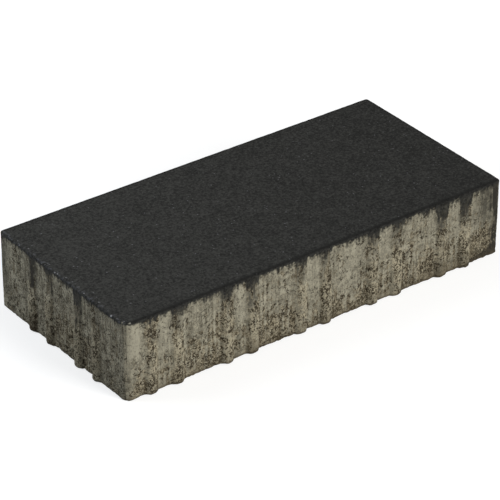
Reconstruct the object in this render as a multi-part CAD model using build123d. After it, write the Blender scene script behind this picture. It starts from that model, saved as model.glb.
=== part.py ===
"""Concrete paving block with spacer ribs on its four sides.

One solid, pressed in an open steel mould from a grey core mix and a dark facing mix. Its upright ribs
stand in pairs and keep the joint to the next block open. Each side's pattern is shifted off centre and
repeats after half a turn of the block, so on the long sides the ribs of the next block drop in between.

Millimetres. X runs along the block, Y across it and Z up. The origin is the middle of the bedding face.
"""

import os

from build123d import *

# The block over its flat sides, without the ribs
LENGTH = 425.0
WIDTH = 200.0
THICKNESS = 80.0

# Edges of the block
CORNER_RADIUS = 3.0  # the four upright corners
TOP_ARRIS_RADIUS = 2.0  # round the wearing face
BOTTOM_ARRIS_RADIUS = 1.0  # round the bedding face

# Ribs: a round-backed section that runs up from the bed and dies away below the wearing face
RIB_WIDTH = 14.0  # where it meets the side
RIB_PROJECTION = 3.5  # how far it stands out, which is the width of the joint
RIB_TOP_DROP = 14.0  # from the wearing face down to the rib's tip
RIB_RUNOUT = 20.0  # height over which it ramps out from its tip to its full section
RIB_ROOT = 3.0  # how deep the rib's section is carried into the block

# The rib pattern of a side
RIB_SPACING = 28.0  # between the two ribs of a pair
PAIR_PITCH_LONG = 82.0  # between pairs on a long side
PAIR_PITCH_SHORT = 74.0  # between pairs on a short side
SHIFT_LONG = RIB_SPACING / 4  # off the middle of a long side: the next block's ribs then fall midway
SHIFT_SHORT = 3.0  # off the middle of a short side


def block_body():
    """The plain block: a rectangle with round corners, raised to its thickness and rounded at both edges."""
    body = extrude(RectangleRounded(LENGTH, WIDTH, CORNER_RADIUS), THICKNESS)
    body = fillet(body.faces().sort_by(Axis.Z)[-1].edges(), TOP_ARRIS_RADIUS)
    return fillet(body.faces().sort_by(Axis.Z)[0].edges(), BOTTOM_ARRIS_RADIUS)


def rib():
    """One rib on the plane Y = 0, standing out to -Y: its plan section, trimmed to its side outline."""
    half = RIB_WIDTH / 2
    back = ThreePointArc((-half, 0), (0, -RIB_PROJECTION), (half, 0))
    root = Polyline((half, 0), (half, RIB_ROOT), (-half, RIB_ROOT), (-half, 0))
    column = extrude(make_face(back + root), THICKNESS)

    tip = THICKNESS - RIB_TOP_DROP
    side_outline = Polygon(
        (-RIB_PROJECTION, 0),
        (RIB_ROOT, 0),
        (RIB_ROOT, tip),
        (0, tip),
        (-RIB_PROJECTION, tip - RIB_RUNOUT),
        align=None,
    )
    trim = extrude(Plane.YZ * side_outline, half, both=True)
    return column & trim


def rib_places(side_length, pitch, shift):
    """Where the ribs of a side stand, from the side's middle: as many pairs as its straight run holds."""
    pair_reach = (RIB_SPACING + RIB_WIDTH) / 2
    straight_run = side_length - 2 * (CORNER_RADIUS + shift + pair_reach)
    pairs = int(straight_run // pitch) + 1
    for number in range(pairs):
        centre = (number - (pairs - 1) / 2) * pitch - shift
        yield centre - RIB_SPACING / 2
        yield centre + RIB_SPACING / 2


def paving_block():
    """The whole block: ribs on one long and one short side, and the same again half a turn round."""
    along = rib_places(LENGTH, PAIR_PITCH_LONG, SHIFT_LONG)
    across = rib_places(WIDTH, PAIR_PITCH_SHORT, SHIFT_SHORT)
    long_side = [Pos(x, -WIDTH / 2, 0) * rib() for x in along]
    short_side = [Pos(-LENGTH / 2, y, 0) * Rot(0, 0, -90) * rib() for y in across]
    half_turn = Rot(0, 0, 180)
    near_ribs = long_side + short_side
    far_ribs = [half_turn * each for each in near_ribs]
    return block_body() + near_ribs + far_ribs


os.makedirs("parts", exist_ok=True)
export_step(paving_block(), "parts/paving_block.step")
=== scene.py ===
import math

import bpy
import numpy as np
from mathutils import Matrix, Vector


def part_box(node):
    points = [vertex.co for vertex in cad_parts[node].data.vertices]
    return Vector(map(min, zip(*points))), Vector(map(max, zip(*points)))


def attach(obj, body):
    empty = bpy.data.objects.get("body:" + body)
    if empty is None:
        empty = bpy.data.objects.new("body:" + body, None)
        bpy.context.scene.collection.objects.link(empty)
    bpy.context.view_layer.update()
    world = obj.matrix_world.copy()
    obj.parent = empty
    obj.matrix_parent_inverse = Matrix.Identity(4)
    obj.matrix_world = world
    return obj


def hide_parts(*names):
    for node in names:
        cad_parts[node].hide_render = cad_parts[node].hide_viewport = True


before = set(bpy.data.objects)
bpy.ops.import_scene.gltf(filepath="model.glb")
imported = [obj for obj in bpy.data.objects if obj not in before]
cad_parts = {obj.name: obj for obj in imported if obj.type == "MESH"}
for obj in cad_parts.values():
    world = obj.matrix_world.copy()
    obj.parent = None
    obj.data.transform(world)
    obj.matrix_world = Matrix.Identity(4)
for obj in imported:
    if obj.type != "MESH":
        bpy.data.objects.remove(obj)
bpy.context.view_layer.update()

# The block: one piece of concrete, pressed in an open steel mould on a vibrating table. A fine black facing
# mix lies on a coarse grey core. Drawing the mould off drags cement paste up over the flat stretches of the
# sides, while the ribs, which the mould lets go of at once, come out open and honeycombed.

MM = 0.001  # a millimetre, in the scene's metres; all other lengths of the block are in millimetres
block_high = np.array(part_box("paving_block")[1]) / MM  # upper corner of its box

RIB_PROJECTION = 3.5
RIB_WIDTH = 14.0
RIB_TIP_DROP = 14.0  # from the wearing face down to where a rib runs out
RIB_RUNOUT = 20.0  # height over which it reaches its full section
RIB_SPACING = 28.0  # between the two ribs of a pair
LONG_RIBS = {"pairs": 5, "pitch": 82.0, "shift": RIB_SPACING / 4}
SHORT_RIBS = {"pairs": 2, "pitch": 74.0, "shift": 3.0}
CORNER_RADIUS = 3.0
WORN_RADIUS = 7.5  # of the front left corner, which has been knocked rounder than the mould left it
TOP_ARRIS = 2.0
BOTTOM_ARRIS = 1.0

THICKNESS = block_high[2]
HALF_LENGTH = block_high[0] - RIB_PROJECTION
HALF_WIDTH = block_high[1] - RIB_PROJECTION

FRONT, RIGHT, BACK, LEFT = range(4)  # the sides, in order round the block
SIDE_NUMBERS = 16  # rib numbers set aside for each side

# Mesh fineness: steps along a long and a short side, in multiples of four, and rows up a side
LONG_STEPS = 400
SHORT_STEPS = 188
SIDE_ROWS = 66
ARRIS_ROWS = 4
CAP_RING_INSET = 5.0  # first ring in from the edge of the top and the bottom
CAP_GRID_INSET = 10.0  # where their plain grid begins


def ease(low, high, value):
    """Smooth step: 0 below low, 1 above high, and a cubic in between; falling if low is above high."""
    part = np.clip((value - low) / (high - low), 0.0, 1.0)
    return part * part * (3.0 - 2.0 * part)


CELL_FACTORS = (73856093, 19349663, 83492791)  # large odd numbers, which spread a small one over many bits
SEED_FACTOR = 2654435761
MIX_FACTOR = 739982445
MIX_SHIFTS = (15, 13, 16)
WORD = 2**32


def scatter(cells, seed):
    """Repeatable random numbers from 0 to 1, one for each whole-number cell, by mixing the cell's bits."""
    mixed = seed * SEED_FACTOR
    for axis, factor in enumerate(CELL_FACTORS):
        mixed = mixed ^ cells[..., axis] * factor
    for shift in MIX_SHIFTS:
        mixed = (mixed ^ (mixed >> shift)) * MIX_FACTOR & (WORD - 1)
    return mixed / WORD


def cloud(points, size, seed):
    """Smooth noise from -1 to 1: random values on a lattice of the given size, blended by a cubic."""
    scaled = points / size
    cell = np.floor(scaled).astype(np.int64)
    part = scaled - cell
    blend = part * part * (3.0 - 2.0 * part)
    total = np.zeros(points.shape[:-1])
    for corner in np.ndindex(2, 2, 2):
        weight = np.prod(np.where(corner, blend, 1.0 - blend), axis=-1)
        total += weight * scatter(cell + corner, seed)
    return 2.0 * total - 1.0


def stone_gap(points, size, seed):
    """Distance to the nearest of many stones, one set at random in each cell of a lattice, in cell sizes."""
    scaled = points / size
    cell = np.floor(scaled).astype(np.int64)
    nearest = np.full(points.shape[:-1], np.inf)
    for step in np.ndindex(3, 3, 3):
        home = cell + step - 1
        stone = home + np.stack([scatter(home, seed + axis) for axis in range(3)], axis=-1)
        nearest = np.minimum(nearest, np.linalg.norm(scaled - stone, axis=-1))
    return nearest


def plan_outline():
    """The block's plan, once round from the front left corner, anticlockwise seen from above.

    Points spaced evenly on the sharp rectangle are pulled onto the circle about the nearest inner corner.
    Gives the sharp points, the inner points, the outward directions, the distance along the side that each
    point is on, measured as the rib pattern is, and the number of that side.
    """
    along_long = np.linspace(-HALF_LENGTH, HALF_LENGTH, LONG_STEPS, endpoint=False)
    along_short = np.linspace(-HALF_WIDTH, HALF_WIDTH, SHORT_STEPS, endpoint=False)
    front = np.stack([along_long, np.full(LONG_STEPS, -HALF_WIDTH)], axis=-1)
    right = np.stack([np.full(SHORT_STEPS, HALF_LENGTH), along_short], axis=-1)
    sharp = np.concatenate([front, right, -front, -right])
    reach = np.array([HALF_LENGTH, HALF_WIDTH]) - CORNER_RADIUS
    inner = np.clip(sharp, -reach, reach)
    outward = sharp - inner
    outward /= np.linalg.norm(outward, axis=-1, keepdims=True)
    along = np.concatenate([along_long, -along_short, along_long, -along_short])
    side = np.repeat([FRONT, RIGHT, BACK, LEFT], [LONG_STEPS, SHORT_STEPS] * 2)
    return sharp, inner, outward, along, side


def nearest_rib(along, side):
    """The rib nearest to each point: how far along the side the point is from its middle, and its number.

    The ribs of a side stand in evenly pitched pairs, and the pattern is shifted off the side's middle.
    """
    offset = np.empty(along.shape)
    number = np.empty(along.shape, dtype=np.int64)
    for each, ribs in enumerate([LONG_RIBS, SHORT_RIBS] * 2):
        here = side == each
        pair_middles = (np.arange(ribs["pairs"]) - (ribs["pairs"] - 1) / 2) * ribs["pitch"] - ribs["shift"]
        middles = (pair_middles[:, None] + np.array([-0.5, 0.5]) * RIB_SPACING).ravel()
        offsets = along[here][:, None] - middles
        nearest = np.abs(offsets).argmin(axis=1)
        offset[here] = np.take_along_axis(offsets, nearest[:, None], axis=1)[:, 0]
        number[here] = nearest + SIDE_NUMBERS * each
    return offset, number


def side_profile():
    """The side's profile from the bed to the top: how far in it is, how high, and which way it faces.

    A quarter circle at the bottom, a straight rise and a quarter circle at the top; the facing is the angle
    of the outward normal above the horizontal.
    """
    turn = np.linspace(0.0, math.pi / 2, ARRIS_ROWS + 1)
    rise = np.linspace(BOTTOM_ARRIS, THICKNESS - TOP_ARRIS, SIDE_ROWS)
    foot = turn[:0:-1]
    head = turn[1:]
    inset = np.concatenate(
        [BOTTOM_ARRIS * (1 - np.cos(foot)), np.zeros(SIDE_ROWS), TOP_ARRIS * (1 - np.cos(head))]
    )
    height = np.concatenate(
        [BOTTOM_ARRIS * (1 - np.sin(foot)), rise, THICKNESS - TOP_ARRIS * (1 - np.sin(head))]
    )
    facing = np.concatenate([-foot, np.zeros(SIDE_ROWS), head])
    return inset[:, None], height[:, None], facing[:, None]


sharp, inner, outward, along, side = plan_outline()
inset, height, facing = side_profile()
ring = len(along)
rows = len(height)

rib_offset, rib_number = nearest_rib(along, side)
rib_gap = np.abs(rib_offset)
rib_radius = (RIB_WIDTH**2 / 4 + RIB_PROJECTION**2) / (2 * RIB_PROJECTION)
rib_section = np.sqrt(np.clip(rib_radius**2 - rib_gap**2, 0.0, None)) - (rib_radius - RIB_PROJECTION)
rib_ramp = np.clip((THICKNESS - RIB_TIP_DROP - height) / RIB_RUNOUT, 0.0, 1.0) * RIB_PROJECTION
rib_rise = np.minimum(np.clip(rib_section, 0.0, None), rib_ramp)


def corner_wear():
    """How far the worn front left corner lies inside the plan, along the way that each point faces.

    From the plan's inner point to the worn corner's larger circle is the root of a quadratic: less the part
    of the way to the circle's middle that lies along the facing, plus the half chord.
    """
    middle = WORN_RADIUS - np.array([HALF_LENGTH, HALF_WIDTH])
    from_middle = inner - middle
    ahead = np.sum(from_middle * outward, axis=-1)
    half_chord = np.sqrt(np.clip(ahead**2 - np.sum(from_middle**2, axis=-1) + WORN_RADIUS**2, 0.0, None))
    return np.where(np.all(sharp < middle, axis=-1), CORNER_RADIUS + ahead - half_chord, 0.0)


worn_away = corner_wear()


def side_surface(relief):
    """The sides: the plan carried up the profile, stood out by the ribs, moved by relief along its normal."""
    out = CORNER_RADIUS - worn_away + rib_rise - inset + relief * np.cos(facing)
    plan = inner + outward * out[..., None]
    return np.concatenate([plan, (height + relief * np.sin(facing))[..., None]], axis=-1)


def by_side(front, right, back, left):
    """A number for each point of the ring, by the side that it is on."""
    return np.array([front, right, back, left])[side]


def by_rib(usual, front=None, left=None):
    """A number for each point of the ring, by the rib nearest to it: the usual one, or the rib's own.

    Ribs in view can have their own: those of the front from the left, and of the left end from the front.
    """
    values = np.full((4, SIDE_NUMBERS), usual, dtype=float)
    for each, own in ((FRONT, front), (LEFT, left)):
        if own is not None:
            values[each, : len(own)] = own
    return values.ravel()[rib_number]


def rib_chance(seed):
    """A random number from 0 to 1 for each rib, given to the points that are nearest to it."""
    return scatter(np.stack([rib_number, rib_number, rib_number], axis=-1), seed)


plain = side_surface(np.zeros((rows, ring)))
drawn = plain * np.array([1.0, 1.0, 0.06])  # the same place, drawn out along the mould's stroke
on_front = side == FRONT
on_left = side == LEFT

# Parts of the sides, each from 0 off it to 1 on it
rib_column = ease(RIB_WIDTH / 2 + 0.8, RIB_WIDTH / 2 - 1.2, rib_gap + 1.1 * cloud(drawn, 5.0, 10))
beside_rib = ease(RIB_WIDTH / 2 + 10.0, RIB_WIDTH / 2 + 2.0, rib_gap)
in_pair = np.where(rib_number % 2 == 0, rib_offset, -rib_offset) > 0  # between the two ribs of a pair
corner_gap = np.where(side % 2 == 0, HALF_LENGTH, HALF_WIDTH) - np.abs(along)
beside_corner = ease(16.0, 5.0, corner_gap)
worn_stretch = on_front * ease(26.0, 12.0, along + HALF_LENGTH)  # of the front, next to the worn corner
worn_strip = on_front * ease(9.0, 5.0, along + HALF_LENGTH)  # a narrower one there
back_stretch = on_left * ease(14.0, 6.0, HALF_WIDTH - along)  # of the left end, next to the back corner
mid_front = on_front * ease(-85.0, -62.0, along) * ease(70.0, 48.0, along)
pair_bay = ease(13.0, 6.0, np.abs(along + 41.0))
wide_bay = ease(18.0, 10.0, np.abs(along + 3.0))
bare_bays = on_left * np.maximum(pair_bay, wide_bay)  # two bays of the left end that are bare at the foot

# How much paste covers the sides: more beside corners and between the ribs of a pair, less low down, and
# still less on the ribs
low_down = ease(60.0, 14.0, height + 11.0 * mid_front)  # mid front, the paste has stayed whole further down
foot_loss = by_side(0.78, 0.6, 0.78, 0.02) + 0.6 * bare_bays
pair_loss = 1 - by_side(0.3, 0.0, 0.3, 0.0) * in_pair
rib_loss = 1 + by_side(0.15, 0.15, 0.15, 0.8) * beside_rib
flat_cover = 0.82 + 0.16 * in_pair + 0.2 * beside_corner - foot_loss * pair_loss * low_down * rib_loss
flat_cover = flat_cover + 0.25 * worn_stretch + 0.4 * worn_strip
rib_paste = by_rib(
    0.0,
    front=[0.0, -0.08, 0.0, 0.2, 0.0, 0.2, 0.18, 0.25, 0.1, -0.05],
    left=[-0.1, 0.45, -0.1, -0.05],
)
rib_cover = by_side(0.34, 0.5, 0.34, 0.6) + rib_paste - 0.12 * ease(30.0, 10.0, height)
patches = 0.55 * cloud(plain * np.array([1.0, 1.0, 0.7]), 19.0, 11) + 0.45 * cloud(plain, 7.0, 12)
cover = np.clip(flat_cover + rib_column * (rib_cover - flat_cover) + 0.55 * patches, 0.0, 1.0)

# How far the black facing shows below the top: little where paste is dragged over it, more above a rib, and
# least on the worn corner
facing_run = by_rib(10.0, front=[6, 9, 12, 13, 9, 8, 12, 9, 19, 17], left=[4, 14, 8, 6])
pair_edge = by_rib(-1.2, front=[-1.2] * 8 + [0.8] * 2, left=[0.8, 0.8, 2.5, 2.5])
flat_edge = by_side(3.4, 3.4, 3.4, 2.2) + pair_edge * in_pair
flat_edge = flat_edge - 1.5 * beside_corner - 2.6 * worn_stretch + 4.0 * back_stretch
flat_edge = flat_edge + 3.2 * cloud(drawn, 8.0, 21) + 1.6 * cloud(drawn, 2.6, 22)
rib_edge = facing_run - 2.0 + 2.5 * cloud(plain, 5.0, 23)
facing_depth = flat_edge + rib_column * (rib_edge - flat_edge)
facing_level = height - (THICKNESS - facing_depth) + 5.0 * ease(THICKNESS - 3.5, THICKNESS - 1.0, height)
from_worn = np.linalg.norm(sharp + np.array([HALF_LENGTH, HALF_WIDTH]), axis=-1)
facing_level = facing_level - 5.0 * ease(12.0, 3.0, from_worn)

# Black slurry: it fades out down the upper part of each rib, has run down the front right corner and spread
# from there along the front's foot and upper part, and darkens the left end's back stretch. On the ribs it is
# shifted onto the flank turned from the lamps, as painted shade, and towards the front's right end it is also
# painted shade for the light falling off there
shade_flank_shift = by_side(1.5, 1.5, 1.5, 3.0)  # shifted onto the flank turned from the lamps, as painted shade
run_reach = by_side(9.0, 9.0, 9.0, 7.5)
run_end = by_rib(42.0, left=[30.0, 34.0, 45.0, 45.0])  # height at which it has faded out
run_full = by_rib(62.0, left=[62.0, 50.0, 55.0, 53.0])  # and above which it is full
front_wash = [0.5, 0.75, 1.0, 13 / 12, 0.75, 8 / 12, 1.0, 0.75, 1.2, 1.2]
wash = by_rib(10 / 12, front=front_wash, left=[0.6, 1.2, 1.2, 1.5])  # how strongly it darkens the rib
rib_run = ease(run_reach, 3.0, np.abs(rib_offset + shade_flank_shift) + 1.5 * cloud(drawn, 6.0, 27))
rib_slurry = rib_run * wash * ease(run_end, run_full, height + 6.0 * cloud(plain, 8.0, 29))
from_right = np.maximum(HALF_LENGTH - sharp[:, 0], 2.5 * (sharp[:, 1] + HALF_WIDTH))
corner_run = from_right + 2.0 * cloud(plain, 11.0, 25)
stain_edge = corner_run - 14.0 * ease(16.0, 0.0, height) - 30.0 * ease(8.0, 1.0, height)
stain_edge = stain_edge + 2.0 * cloud(drawn, 4.0, 26) + 3.0 * cloud(plain, 5.0, 28)
corner_slurry = ease(12.5, 5.0, stain_edge)
# Towards the front's right end: slurry, and painted shade for the light falling off there
upper_stain_and_shade = 0.15 * ease(95.0, 25.0, corner_run) + 0.35 * ease(34.0, 22.0, corner_run)
foot_slurry = 0.25 * ease(100.0, 60.0, corner_run) * ease(24.0, 6.0, height)
end_stain_and_shade = upper_stain_and_shade * ease(20.0, 55.0, height) + foot_slurry
back_slurry = 0.55 * back_stretch * ease(10.0, 40.0, height)
slurry_and_shade = np.maximum(by_side(0.5, 0.5, 0.5, 0.6) * rib_slurry, 1.5 * corner_slurry) + end_stain_and_shade + back_slurry

# Rubbed pale: a strip by each corner but the stained one, the edges of the bays between the ribs of a pair,
# and the upper part of one bay of the front; and a painted highlight on the flank of the left end's ribs that
# faces the left lamp
strip = 7.0 + 12.0 * ease(38.0, 52.0, height) + 3.0 * cloud(drawn, 6.0, 51)
rub_and_highlight = ease(1.0, 3.5, corner_gap) * ease(strip, strip - 6.0, corner_gap) * ease(18.0, 30.0, height)
rub_and_highlight = rub_and_highlight * by_side(1.0, 0.3, 1.0, 0.3) * ease(20.0, 40.0, corner_run)
pair_rub = in_pair * ease(6.5, 9.5, rib_gap) * ease(22.0, 48.0, height)
rub_and_highlight = np.maximum(rub_and_highlight, by_side(0.3, 0.0, 0.3, 0.0) * pair_rub)
pale_bay = on_front * ease(12.0, 24.0, along) * ease(56.0, 44.0, along) * ease(42.0, 52.0, height)
rub_and_highlight = np.maximum(rub_and_highlight, 0.4 * pale_bay * ease(74.0, 64.0, height))
# A painted highlight on the flank of the left end's ribs that faces the left lamp
flank = ease(2.0, 4.5, rib_offset) * ease(8.5, 6.0, rib_offset) * ease(3.0, 10.0, height)
flank_highlight = by_rib(0.0, left=[0.5, 0.1, 0.8, 0.4]) * flank
rub_and_highlight = np.maximum(rub_and_highlight, flank_highlight * ease(58.0, 42.0, height + 6.0 * cloud(plain, 8.0, 52)))

# The ribs' pale crests, and the dark foot of the sides: painted shade towards the bed, a painted contact
# shadow along its edge, and painted shadow at the feet of some ribs
crest_pale = by_rib(
    1.0,
    front=[1.0, 1.0, 1.0, 1.0, 1.0, 1.3, 1.1, 1.4, 1.0, 1.0],
    left=[2.0, 2.4, 1.6, 1.3],
)
crest = crest_pale * ease(7.5, 4.0, rib_gap) * ease(56.0, 44.0, height)
crest = crest * (0.65 + 0.35 * ease(6.0, 20.0, height))
rib_foot_shade = by_rib(
    0.0,
    front=[0.0, 0.0, 0.0, 0.35, 0.0, 0.2, 0.0, 0.0, 0.35, 0.1],
    left=[0.0, 0.0, 0.45, 0.5],
)
# Painted shade, darker towards the bed, and painted shadow at the feet of some ribs
foot_shade = by_side(0.34, 0.25, 0.34, 0.0) * ease(16.0, 3.0, height)
foot_shade = foot_shade * (1 - 0.5 * crest) * (1 - 0.8 * worn_stretch)
foot_shade = foot_shade + rib_foot_shade * rib_column * ease(24.0, 8.0, height)
# A painted contact shadow along the bed's edge, over the painted shade of the foot
foot = 0.5 * ease(3.8, 1.6, height) + foot_shade

# Grit that shows through the paste, the streaks and pits of the ends, the thin paste over the facing below
# the top's edge, and that edge: paler on the left with a painted sheen and real wear, and darkened elsewhere
# with painted shade
gritty_side = by_side(0.55, 0.7, 0.55, 1.2)
end_share = by_side(0.0, 0.4, 0.0, 1.0)
streaked_side = end_share * (0.1 + 0.6 * ease(36.0, 70.0, height))
pitted_side = end_share * ease(76.0, 64.0, height) * ease(2.0, 5.0, height)
veil = ease(THICKNESS - 1.0, THICKNESS - 8.0, height) * (1 - 0.4 * rib_column)
arris_sheen_and_wear = ease(THICKNESS - 3.0, THICKNESS - 0.8, height) * ease(0.2, 0.9, -outward[:, 0])
arris_shade = ease(THICKNESS - 1.8, THICKNESS - 0.2, height) * ease(0.9, 0.2, -outward[:, 0])

# Relief of the sides, all of it cut into the block
VOID_DEPTH = 1.6
STONE_DEPTH = 0.8
UNEVEN_DEPTH = 0.25
GRAIN_DEPTH = 0.08
DRAG_DEPTH = 0.13
FOOT_CHIP_DEPTH = 0.4
HEAD_CHIP_DEPTH = 0.15
TORN_SHARE = 0.6  # of a rib's height
bare = (1 - cover) * ease(THICKNESS - 5.0, THICKNESS - 16.0, height)
void_field = 0.5 * cloud(plain, 3.0, 31) + 0.5 * cloud(plain, 1.9, 32)
void_limit = 0.72 - 0.34 * bare
void = ease(void_limit, void_limit + 0.16, void_field) * ease(0.5, 4.0, height)
stones = -STONE_DEPTH * bare * ease(0.3, 0.95, stone_gap(plain, 4.2, 33))
uneven = UNEVEN_DEPTH * (cloud(plain, 9.0, 41) - 1) * (0.2 + bare)
uneven = uneven + GRAIN_DEPTH * (cloud(plain, 2.4, 42) - 1)
drag = DRAG_DEPTH * (cloud(drawn, 2.3, 43) - 1) * (1 - 0.8 * rib_column)
drag = drag * ease(THICKNESS - 1.0, THICKNESS - 5.0, height)
torn_top = 30.0 + 26.0 * rib_chance(46)  # above this a rib has partly come away with the mould
torn = -TORN_SHARE * rib_rise * ease(torn_top - 3.0, torn_top + 5.0, height + 3.0 * cloud(plain, 5.0, 47))
foot_chips = -FOOT_CHIP_DEPTH * ease(0.25, 0.85, cloud(plain, 6.0, 44)) * ease(6.0, 0.0, height)
head_chips = -HEAD_CHIP_DEPTH * ease(0.1, 0.8, cloud(plain, 4.5, 45))
head_chips = head_chips * ease(THICKNESS - 5.0, THICKNESS - 1.0, height)
relief = -VOID_DEPTH * void + stones + uneven + drag + torn + foot_chips + head_chips
side_points = side_surface(relief)


def cap_points(level):
    """A flat end at one height: a ring of half as many points as the side has, then a grid of a quarter."""
    full = np.array([HALF_LENGTH, HALF_WIDTH])
    loop = sharp[::2] * (full - CAP_RING_INSET) / full
    across = np.linspace(-1.0, 1.0, LONG_STEPS // 4 + 1) * (HALF_LENGTH - CAP_GRID_INSET)
    deep = np.linspace(-1.0, 1.0, SHORT_STEPS // 4 + 1) * (HALF_WIDTH - CAP_GRID_INSET)
    grid = np.stack(np.meshgrid(across, deep), axis=-1).reshape(-1, 2)
    flat = np.concatenate([loop, grid])
    return np.concatenate([flat, np.full((len(flat), 1), level)], axis=-1)


def halving_strip(outer, inner_loop):
    """Triangles between a closed loop and one of half as many points inside it, anticlockwise from above."""
    left, middle, right = outer[0::2], outer[1::2], np.roll(outer, -2)[0::2]
    near, far = inner_loop, np.roll(inner_loop, -1)
    triangles = ((left, middle, near), (middle, right, far), (middle, far, near))
    return np.concatenate([np.stack(corners, axis=-1) for corners in triangles])


def cap_faces(edge, first):
    """Faces of a flat end: two halving strips in from the edge loop, then the quads of the grid."""
    across, deep = LONG_STEPS // 4, SHORT_STEPS // 4
    loop = first + np.arange(ring // 2)
    grid = first + ring // 2 + np.arange((across + 1) * (deep + 1)).reshape(deep + 1, across + 1)
    border = np.concatenate([grid[0, :-1], grid[:-1, -1], grid[-1, :0:-1], grid[:0:-1, 0]])
    triangles = np.concatenate([halving_strip(edge, loop), halving_strip(loop, border)])
    quads = np.stack([grid[:-1, :-1], grid[:-1, 1:], grid[1:, 1:], grid[1:, :-1]], axis=-1).reshape(-1, 4)
    return triangles, quads


index = np.arange(rows * ring).reshape(rows, ring)
beside = np.roll(index, -1, axis=1)
side_quads = np.stack([index[:-1], beside[:-1], beside[1:], index[1:]], axis=-1).reshape(-1, 4)
top_points = cap_points(THICKNESS)
bed_points = cap_points(0.0)
top_triangles, top_quads = cap_faces(index[-1], rows * ring)
bed_triangles, bed_quads = cap_faces(index[0], rows * ring + len(top_points))
points = np.concatenate([side_points.reshape(-1, 3), top_points, bed_points]) * MM
faces = np.concatenate([side_quads, top_quads, bed_quads[:, ::-1]]).tolist()
faces += np.concatenate([top_triangles, bed_triangles[:, ::-1]]).tolist()

block_mesh = bpy.data.meshes.new("pressed_block")
block_mesh.from_pydata(points.tolist(), [], faces)
block_mesh.polygons.foreach_set("use_smooth", np.ones(len(faces), dtype=bool))
block = bpy.data.objects.new("pressed_block", block_mesh)
bpy.context.scene.collection.objects.link(block)


def mark(name, side_values, top_value=0.0, bed_value=0.0):
    """Keeps a number for each point of the block, for its finish to read."""
    values = np.concatenate(
        [
            np.broadcast_to(side_values, (rows, ring)).ravel(),
            np.full(len(top_points), top_value),
            np.full(len(bed_points), bed_value),
        ]
    )
    block_mesh.attributes.new(name, "FLOAT", "POINT").data.foreach_set("value", values.astype(np.float32))


mark("facing_level", facing_level, top_value=20.0, bed_value=-THICKNESS)
mark("cover", cover, top_value=1.0, bed_value=0.3)
mark("void", void)
mark("slurry_and_shade", slurry_and_shade)
mark("rub_and_highlight", rub_and_highlight)
mark("crest", crest)
mark("foot", foot, bed_value=0.3)
mark("gritty", gritty_side, top_value=0.3, bed_value=0.8)
mark("streaked", streaked_side)
mark("pitted", pitted_side)
mark("veil", veil, bed_value=1.0)
mark("arris_sheen_and_wear", arris_sheen_and_wear)
mark("arris_shade", arris_shade)


class Shade:
    """An output socket of a material. Sums and products with it become Math nodes."""

    def __init__(self, tree, socket):
        self.tree = tree
        self.socket = socket

    def node(self, kind, settings, sockets, output=0):
        """Adds a node: its settings, then a value or a link for each socket; gives one of its outputs."""
        added = self.tree.nodes.new(kind)
        for name, setting in settings.items():
            setattr(added, name, setting)
        for name, value in sockets.items():
            if isinstance(value, Shade):
                self.tree.links.new(value.socket, added.inputs[name])
            else:
                added.inputs[name].default_value = value
        return Shade(self.tree, added.outputs[output])

    def math(self, operation, first, second):
        """One operation on two values."""
        return self.node("ShaderNodeMath", {"operation": operation}, {0: first, 1: second})

    def __add__(self, other):
        return self.math("ADD", self, other)

    def __radd__(self, other):
        return self.math("ADD", other, self)

    def __sub__(self, other):
        return self.math("SUBTRACT", self, other)

    def __rsub__(self, other):
        return self.math("SUBTRACT", other, self)

    def __mul__(self, other):
        return self.math("MULTIPLY", self, other)

    def __rmul__(self, other):
        return self.math("MULTIPLY", other, self)

    def or_more(self, other):
        """The larger of two values."""
        return self.math("MAXIMUM", self, other)

    def step(self, low, high):
        """Smooth step from 0 at low to 1 at high."""
        ends = {"Value": self, "From Min": low, "From Max": high}
        return self.node("ShaderNodeMapRange", {"interpolation_type": "SMOOTHSTEP"}, ends)

    def mix(self, without, full):
        """Colour: without where this is 0, full where it is 1."""
        return self.node("ShaderNodeMix", {"data_type": "RGBA"}, {0: self, 6: without, 7: full}, output=2)

    def stretched(self, x, y, z):
        """Place: each axis times a number."""
        return self.node("ShaderNodeVectorMath", {"operation": "MULTIPLY"}, {0: self, 1: (x, y, z)})

    def length(self):
        """Distance of a place from the origin."""
        return self.node("ShaderNodeVectorMath", {"operation": "LENGTH"}, {0: self}, output="Value")

    def noise(self, size, detail=2.0, roughness=0.5):
        """Noise about 0.5, with features of this size where this is a place in millimetres."""
        sockets = {"Vector": self, "Scale": 1.0 / size, "Detail": detail, "Roughness": roughness}
        return self.node("ShaderNodeTexNoise", {}, sockets)

    def stones(self, size, output="Distance"):
        """Distance to the nearest stone of a random packing, or that stone's random colour."""
        return self.node("ShaderNodeTexVoronoi", {}, {"Vector": self, "Scale": 1.0 / size}, output)

    def stone_gap(self, size):
        """Distance to the nearest gap between the stones of a random packing, in stone sizes."""
        sockets = {"Vector": self, "Scale": 1.0 / size}
        return self.node("ShaderNodeTexVoronoi", {"feature": "DISTANCE_TO_EDGE"}, sockets)

    def swayed(self, reach, size):
        """Place: moved about by noise, up to this many millimetres."""
        sockets = {"Vector": self, "Scale": 1.0 / size, "Detail": 1.0}
        sway = self.node("ShaderNodeTexNoise", {}, sockets, "Color")
        moved = {0: sway, 1: (reach, reach, reach), 2: self}
        return self.node("ShaderNodeVectorMath", {"operation": "MULTIPLY_ADD"}, moved)


def tone(red, green, blue):
    """A colour as it looks on screen, 0 to 255, made linear for a shader."""
    screen = np.array([red, green, blue]) / 255.0
    linear = np.where(screen <= 0.04045, screen / 12.92, ((screen + 0.055) / 1.055) ** 2.4)
    return (*linear.tolist(), 1.0)


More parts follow.
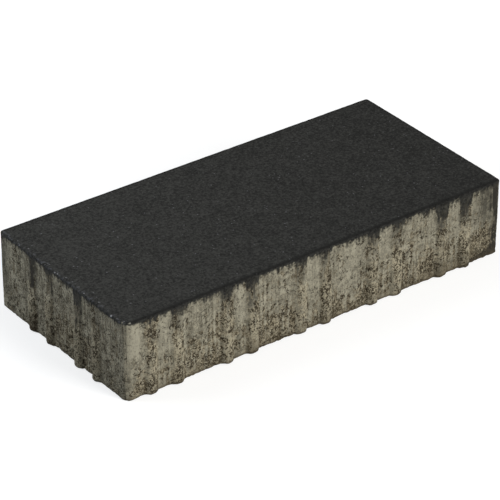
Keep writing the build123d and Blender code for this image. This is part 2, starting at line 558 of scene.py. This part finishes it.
PASTE = tone(145, 141, 125)  # cement paste dragged over the flats
PASTE_DIM = tone(106, 103, 91)  # where it is thin
PASTE_PALE = tone(166, 162, 145)  # where it is rubbed up, and for the painted highlight on rib flanks
CORE = tone(128, 120, 102)  # coarse core between and on the stones
CORE_DIM = tone(102, 94, 77)
CORE_DARK = tone(80, 72, 57)
STONE_PALE = tone(168, 160, 138)
HOLE_TONE_AND_SHADE = tone(46, 39, 29)  # holes between the stones: their own dark tone, deepened with painted shade
SLURRY = tone(53, 51, 46)  # facing mix washed down over the core, also the colour of the painted shade in its mask
BLACK = tone(55, 55, 53)  # black facing
# BLACK_DEEP: the facing's darkest grains, and also painted shade on the top's arrises away from the left
BLACK_DEEP = tone(22, 22, 21)
BLACK_SHEEN_AND_WEAR = tone(74, 75, 78)  # left arris: painted sheen of the left lamp, and rubbed wear
SPARK = tone(98, 98, 101)  # light grains in the facing
CHIP = tone(150, 150, 152)  # small chips out of its worn arris

concrete = bpy.data.materials.new("pressed_concrete")
concrete.use_nodes = True
tree = concrete.node_tree
finish = tree.nodes["Principled BSDF"]
object_place = Shade(tree, tree.nodes.new("ShaderNodeTexCoord").outputs["Object"])
place = object_place.stretched(1 / MM, 1 / MM, 1 / MM)


def marked(name):
    """The number kept under this name for each point of the block."""
    return place.node("ShaderNodeAttribute", {"attribute_name": name}, {}, output="Fac")


PEBBLE_SIZE = 3.4
SPARK_SIZE = 2.6
CHIP_SIZE = 3.4
LIGHT_AND_WEAR_REACH = 260.0  # from the block's middle to where the facing's greying along it levels out; partly painted light of the left lamp
drawn_place = place.stretched(1.0, 1.0, 0.07)
squat_place = place.stretched(1.0, 1.0, 0.7)
streak = drawn_place.noise(2.3)
band = drawn_place.noise(6.0)
mottle = place.noise(5.0, 3.0)
fleck = place.noise(4.2)
blotch = place.noise(8.0, 3.0)
grit = squat_place.noise(1.1, 3.0, 0.65)

# Paste, thinner and thicker in upright bands, over a core of stones
paste = (band * 0.5 + mottle * 0.5).step(0.36, 0.60).mix(PASTE_DIM, PASTE)
paste = (streak.step(0.48, 0.62) * 0.6).mix(paste, PASTE_PALE)
paste = (streak.step(0.47, 0.34) * 0.6).mix(paste, PASTE_DIM)
paste = (fleck.step(0.51, 0.64) * 0.4).mix(paste, PASTE_PALE)
paste = (fleck.step(0.49, 0.36) * 0.4).mix(paste, PASTE_DIM)
paste = (blotch.step(0.52, 0.36) * marked("gritty")).mix(paste, PASTE_DIM)
paste = (blotch.step(0.52, 0.68) * marked("gritty")).mix(paste, PASTE_PALE)
paste = (marked("rub_and_highlight") * 0.6).mix(paste, PASTE_PALE)
pebbles = place.stretched(1.0, 1.0, 0.75).swayed(6.0, 3.4)
pebble_chance = pebbles.stones(PEBBLE_SIZE, "Color")
core = pebble_chance.step(0.25, 0.6).mix(CORE_DIM, CORE)
core = (pebble_chance.step(0.58, 0.76) * 0.75).mix(core, STONE_PALE)
core = (streak.step(0.47, 0.34) * 0.5).mix(core, CORE_DIM)
core = (streak.step(0.50, 0.64) * 0.5).mix(core, PASTE_PALE)
covered = (marked("cover") + (mottle - 0.5) * 2.0 + (streak - 0.5)).step(0.25, 0.68)
open_here = 1 - covered
side_colour = covered.mix(core, paste)

# Pale crests, grit, streaks, rubbed places and the painted highlight on the left end's rib flanks over both
side_colour = (marked("crest") * (0.15 + 0.6 * fleck.step(0.42, 0.56))).mix(side_colour, STONE_PALE)
gritty = marked("gritty").or_more(open_here * 0.95).or_more(marked("crest") * 0.9)
streaked = marked("streaked")
side_colour = (grit.step(0.51, 0.66) * gritty * (1 - 0.3 * streaked)).mix(side_colour, STONE_PALE)
side_colour = (grit.step(0.49, 0.34) * gritty).mix(side_colour, CORE_DARK)
side_colour = (streak.step(0.50, 0.60) * streaked * 0.35).mix(side_colour, PASTE_PALE)
side_colour = (streak.step(0.45, 0.33) * streaked * 0.6).mix(side_colour, CORE_DARK)
side_colour = (marked("rub_and_highlight") * (0.2 + 0.4 * streak)).mix(side_colour, PASTE_PALE)

# Pores: crooked gaps between the stones where the core is open, fine pores, and pits in the ends, all
# coloured dark: their own tone, deepened with painted shade inside them
clump = place.noise(11.0, 1.0)
gap_width = open_here * 0.16 + (place.noise(3.2) - 0.5) * 0.9 + (clump - 0.5) * 0.6 - 0.085
gap_width = gap_width + marked("crest").step(0.0, 1.0) * 0.04
broken = place.noise(1.6, 1.0).step(0.40, 0.50)
gaps = (gap_width - pebbles.stone_gap(2.7)).step(-0.01, 0.05) * broken
fine_pores = (place.noise(1.9) + open_here * 0.06 + (clump - 0.5) * 0.2).step(0.65, 0.71)
pits = squat_place.noise(3.6, 1.5).step(0.60, 0.68) * marked("pitted")
hole = gaps.or_more(marked("void")).or_more(fine_pores * 0.7).or_more(pits * 0.8)
hole = hole * (1 - 0.5 * marked("rub_and_highlight"))
# Holes darkened: their own tone and painted shade inside them
side_colour = (hole * 0.9).mix(side_colour, HOLE_TONE_AND_SHADE)

# Slurry over all of that, with the painted shade carried in its mask, and the dark foot, which is painted
# shade near the bed
washed_and_shaded = marked("slurry_and_shade") * (0.3 + 1.3 * (mottle * 0.35 + streak * 0.65).step(0.38, 0.62))
side_colour = washed_and_shaded.mix(side_colour, SLURRY)
# The dark foot: painted shade near the bed
side_colour = marked("foot").mix(side_colour, CORE_DARK)

# Black facing, with light grains in it, a little greyer to the left, partly as painted light of the left
# lamp, a painted sheen and painted shade on its arrises, and its ragged lower edge
grain = place.noise(2.4, 3.0, 0.75)
along_block = place.node("ShaderNodeSeparateXYZ", {}, {"Vector": place}, output="X")
# Greyer towards the left end: partly painted light of the left lamp, partly greying of the facing
end_light_and_wear = along_block.step(LIGHT_AND_WEAR_REACH, -LIGHT_AND_WEAR_REACH)
greyer = grain + (place.noise(17.0) - 0.5) * 0.14 + (end_light_and_wear - 0.7) * 0.06
black = greyer.step(0.31, 0.69).mix(BLACK_DEEP, BLACK)
edge_sheen_and_wear = marked("arris_sheen_and_wear")
# A painted sheen of the left lamp on the left arris, with real wear there
black = (edge_sheen_and_wear * place.noise(2.6).step(0.48, 0.70) * 0.8).mix(black, BLACK_SHEEN_AND_WEAR)
black = (marked("veil") * (mottle * 0.5 + streak * 0.5).step(0.36, 0.66) * 0.42).mix(black, PASTE_DIM)
# Painted shade on the top's arrises that face away from the left lamp
black = (marked("arris_shade") * 0.9).mix(black, BLACK_DEEP)
spark_chance = place.stones(SPARK_SIZE, "Color") + edge_sheen_and_wear * 0.1
spark = spark_chance.step(0.81, 0.92) * place.stones(SPARK_SIZE).step(0.32, 0.14)
black = spark.mix(black, SPARK)
chip_chance = place.stones(CHIP_SIZE, "Color").step(0.70, 0.76)
chip = edge_sheen_and_wear * chip_chance * place.stones(CHIP_SIZE).step(0.45, 0.25)
black = chip.mix(black, CHIP)
ragged = (drawn_place.noise(2.8) - 0.5) * 17.0 + (place.noise(2.2) - 0.5) * 15.0
faced = (marked("facing_level") + ragged).step(-5.6, 2.2)
colour = faced.mix(side_colour, black)

level = grain * 0.30 + grit * gritty * 0.4 - hole * 0.7 + streak * covered * 0.15
bump = place.node("ShaderNodeBump", {}, {"Strength": 1.0, "Distance": MM, "Height": level})
roughness = 0.94 - 0.08 * faced
tree.links.new(colour.socket, finish.inputs["Base Color"])
tree.links.new(roughness.socket, finish.inputs["Roughness"])
tree.links.new(bump.socket, finish.inputs["Normal"])
finish.inputs["Specular IOR Level"].default_value = 0.1
block_mesh.materials.append(concrete)
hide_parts("paving_block")
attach(block, "root")

# The floor: a plain pale sheet under the block. It looks white to the camera but for the block's soft
# shadow, and throws less light back up at the block's sides than a white sheet would.

FLOOR_REACH = 30.0  # metres each way
FLOOR_DROP = 0.1 * MM
FLOOR_SEEN = 0.42  # share of the light that the camera sees on the sheet
FLOOR_GLOW_NEAR = 0.66  # white that the camera sees besides, by the block
FLOOR_GLOW_FAR = 1.0  # and well away from it
GLOW_NEAR_END = 0.3  # metres from the block's middle to where the near glow ends
GLOW_FAR_START = 1.0  # and to where the far one begins
FLOOR_BOUNCE = 0.22  # share of the light that the block gets back

floor_corners = np.array([[-1, -1, 0], [1, -1, 0], [1, 1, 0], [-1, 1, 0]]) * FLOOR_REACH
floor_corners = floor_corners - np.array([0, 0, FLOOR_DROP])
floor_mesh = bpy.data.meshes.new("floor")
floor_mesh.from_pydata(floor_corners.tolist(), [], [[0, 1, 2, 3]])
floor = bpy.data.objects.new("floor", floor_mesh)
bpy.context.scene.collection.objects.link(floor)
sheet = bpy.data.materials.new("pale_sheet")
sheet.use_nodes = True
sheet_tree = sheet.node_tree


def seen_rays(tree):
    """1 on what the camera sees, straight or in a mirror or glass, and 0 on what only lights the rest."""
    ray = tree.nodes.new("ShaderNodeLightPath")
    straight, mirrored, through = (
        Shade(tree, ray.outputs[name]) for name in ("Is Camera Ray", "Is Glossy Ray", "Is Transmission Ray")
    )
    return straight.or_more(mirrored).or_more(through)


def grey(share):
    """A grey of this linear value, for a shader."""
    return (share, share, share, 1.0)


seen = seen_rays(sheet_tree)
floor_place = Shade(sheet_tree, sheet_tree.nodes.new("ShaderNodeTexCoord").outputs["Object"])
far = floor_place.length().step(GLOW_NEAR_END, GLOW_FAR_START)
glow = seen * (FLOOR_GLOW_NEAR + (FLOOR_GLOW_FAR - FLOOR_GLOW_NEAR) * far)
sheet_colour = seen.mix(grey(FLOOR_BOUNCE), grey(FLOOR_SEEN))
glow_colour = glow.mix(grey(0.0), grey(1.0))
sheet_finish = sheet_tree.nodes["Principled BSDF"]
sheet_tree.links.new(sheet_colour.socket, sheet_finish.inputs["Base Color"])
sheet_tree.links.new(glow_colour.socket, sheet_finish.inputs["Emission Color"])
sheet_finish.inputs["Emission Strength"].default_value = 1.0
sheet_finish.inputs["Roughness"].default_value = 1.0
sheet_finish.inputs["Specular IOR Level"].default_value = 0.0
floor_mesh.materials.append(sheet)

# The light: a plain white room, one large soft lamp in front of the block on its right, and a weaker one
# behind its left end.

ROOM_LIGHT = 0.20
FRONT_LAMP_COLOUR = (1.0, 0.985, 0.95)
LEFT_LAMP_COLOUR = (0.85, 0.91, 0.98)

room = bpy.data.worlds.new("plain_room")
room.use_nodes = True
bpy.context.scene.world = room
air = room.node_tree.nodes["Background"]
room_strength = ROOM_LIGHT + seen_rays(room.node_tree) * (1.0 - ROOM_LIGHT)
air.inputs["Color"].default_value = grey(1.0)
room.node_tree.links.new(room_strength.socket, air.inputs["Strength"])


def axes_towards(azimuth, elevation):
    """Right, up and back of what looks at the block from a direction given in degrees.

    Back points from the block that way; azimuth 0 is in front of it and 90 to its right.
    """
    turn, rise = math.radians(azimuth), math.radians(elevation)
    back = np.array([math.sin(turn) * math.cos(rise), -math.cos(turn) * math.cos(rise), math.sin(rise)])
    right = np.array([math.cos(turn), math.sin(turn), 0.0])
    return right, np.cross(back, right), back


def stand(holder, right, up, back, spot):
    """Puts a lamp or camera on a spot, with its own axes along right, up and back."""
    axes = np.column_stack([right, up, back, spot])
    holder.matrix_world = Matrix(np.vstack([axes, [0, 0, 0, 1]]).tolist())
    bpy.context.scene.collection.objects.link(holder)


def lamp(name, azimuth, elevation, distance, width, power, colour):
    """A square soft lamp that looks at the middle of the block's bed from a direction given in degrees."""
    light = bpy.data.lights.new(name, "AREA")
    light.size = width
    light.energy = power
    light.color = colour
    right, up, back = axes_towards(azimuth, elevation)
    stand(bpy.data.objects.new(name, light), right, up, back, back * distance)


lamp("front_lamp", 22.0, 33.0, distance=8.0, width=3.6, power=660.0, colour=FRONT_LAMP_COLOUR)
lamp("left_lamp", -125.0, 42.0, distance=1.1, width=0.6, power=5.9, colour=LEFT_LAMP_COLOUR)

# The camera: it stands in front of the block's front left corner, well back, with a long lens. It is set a
# little aside from the line through the middle of the block's bed, so that the block fills the picture.

CAMERA_AZIMUTH = -36.64
CAMERA_ELEVATION = 31.13
CAMERA_DISTANCE = 2.740  # metres
CAMERA_RIGHT = -0.0033  # metres aside, in the picture's own directions
CAMERA_UP = 0.0266
LENS = 211.9  # millimetres

camera = bpy.data.objects.new("camera", bpy.data.cameras.new("camera"))
camera.data.lens = LENS
camera_right, camera_up, to_camera = axes_towards(CAMERA_AZIMUTH, CAMERA_ELEVATION)
camera_spot = to_camera * CAMERA_DISTANCE + camera_right * CAMERA_RIGHT + camera_up * CAMERA_UP
stand(camera, camera_right, camera_up, to_camera, camera_spot)
bpy.context.scene.camera = camera
bpy.context.scene.view_settings.view_transform = "Standard"
